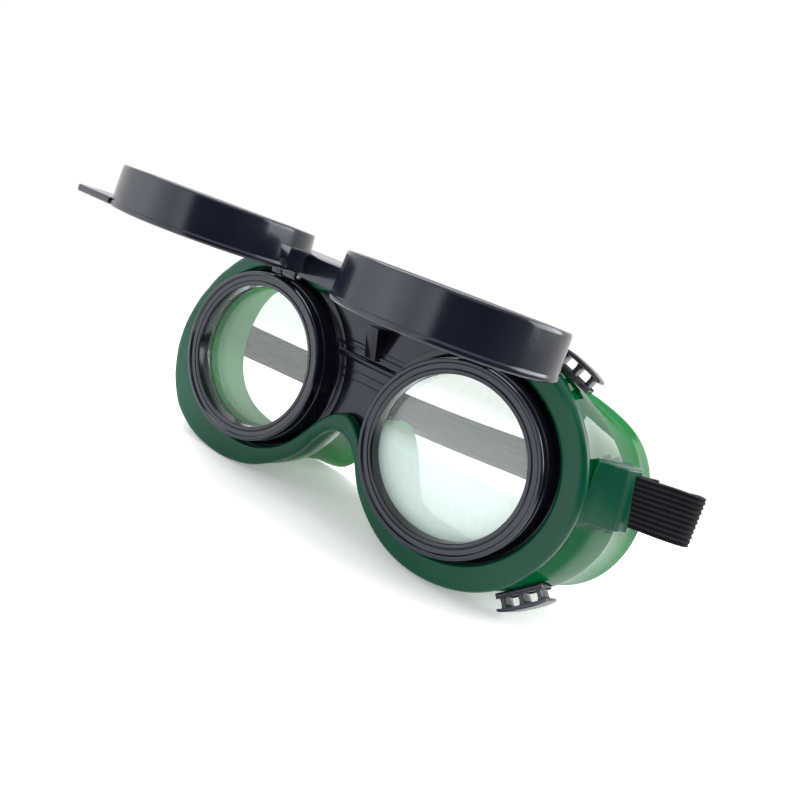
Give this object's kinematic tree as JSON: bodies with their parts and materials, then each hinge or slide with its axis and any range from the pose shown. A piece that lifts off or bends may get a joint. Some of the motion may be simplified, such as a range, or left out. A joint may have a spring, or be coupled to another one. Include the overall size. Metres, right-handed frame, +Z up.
{
  "type": "flip_front_cup_goggles",
  "caption": "Gas-welding goggles: soft green face mask, rigid black front with screw-in lens rings, raised flip front with dark lenses, vent plugs, elastic headband.",
  "frame": {"origin": "centre of the bounding box footprint, on the surface the goggles stand on, lift front raised", "axes": "+X wearer's left, +Y towards the wearer's face, +Z up"},
  "size_m": [0.196, 0.1318, 0.0837],
  "materials": {
    "body_pvc": "glossy translucent soft PVC",
    "frame_plastic": "glossy moulded black",
    "ring_plastic": "satin gloss moulded black",
    "clear_lens": "clear polished",
    "gasket_rubber": "matt",
    "shade_glass": "dark green polished",
    "pin_steel": "plain",
    "vent_plastic": "satin moulded black",
    "webbing": "ribbed elastic webbing"
  },
  "bodies": {
    "goggles": {"face_body": "body_pvc", "front_frame": "frame_plastic", "clear_lens_left": "clear_lens", "clear_lens_right": "clear_lens", "lens_gasket_left": "gasket_rubber", "lens_gasket_right": "gasket_rubber", "hinge_pin_left": "pin_steel", "hinge_pin_right": "pin_steel", "vent_lower_left": "vent_plastic", "vent_lower_right": "vent_plastic", "vent_upper_left": "vent_plastic", "vent_upper_right": "vent_plastic", "headband": "webbing", "headband_tail_left": "webbing", "headband_tail_right": "webbing"},
    "lift_front": {"flip_frame": "frame_plastic", "hinge_knuckle_left": "frame_plastic", "hinge_knuckle_right": "frame_plastic", "shade_lens_left": "shade_glass", "shade_lens_right": "shade_glass", "flip_ring_left": "ring_plastic", "flip_ring_right": "ring_plastic"},
    "ring_left": {"lens_ring_left": "ring_plastic"},
    "ring_right": {"lens_ring_right": "ring_plastic"}
  },
  "joints": [
    {"name": "lift_hinge", "type": "hinge", "parent": "goggles", "child": "lift_front", "pos_m": [-0.00333, -0.00854, 0.06985], "axis": [1, 0, 0], "range_deg": [0, 90]},
    {"name": "ring_left_screw", "type": "hinge", "parent": "goggles", "child": "ring_left", "pos_m": [0.03517, -0.00784, 0.03925], "axis": [0, -1, 0], "range_deg": [0, 330]},
    {"name": "ring_right_screw", "type": "hinge", "parent": "goggles", "child": "ring_right", "pos_m": [-0.04183, -0.00784, 0.03925], "axis": [0, -1, 0], "range_deg": [0, 330]}
  ]
}
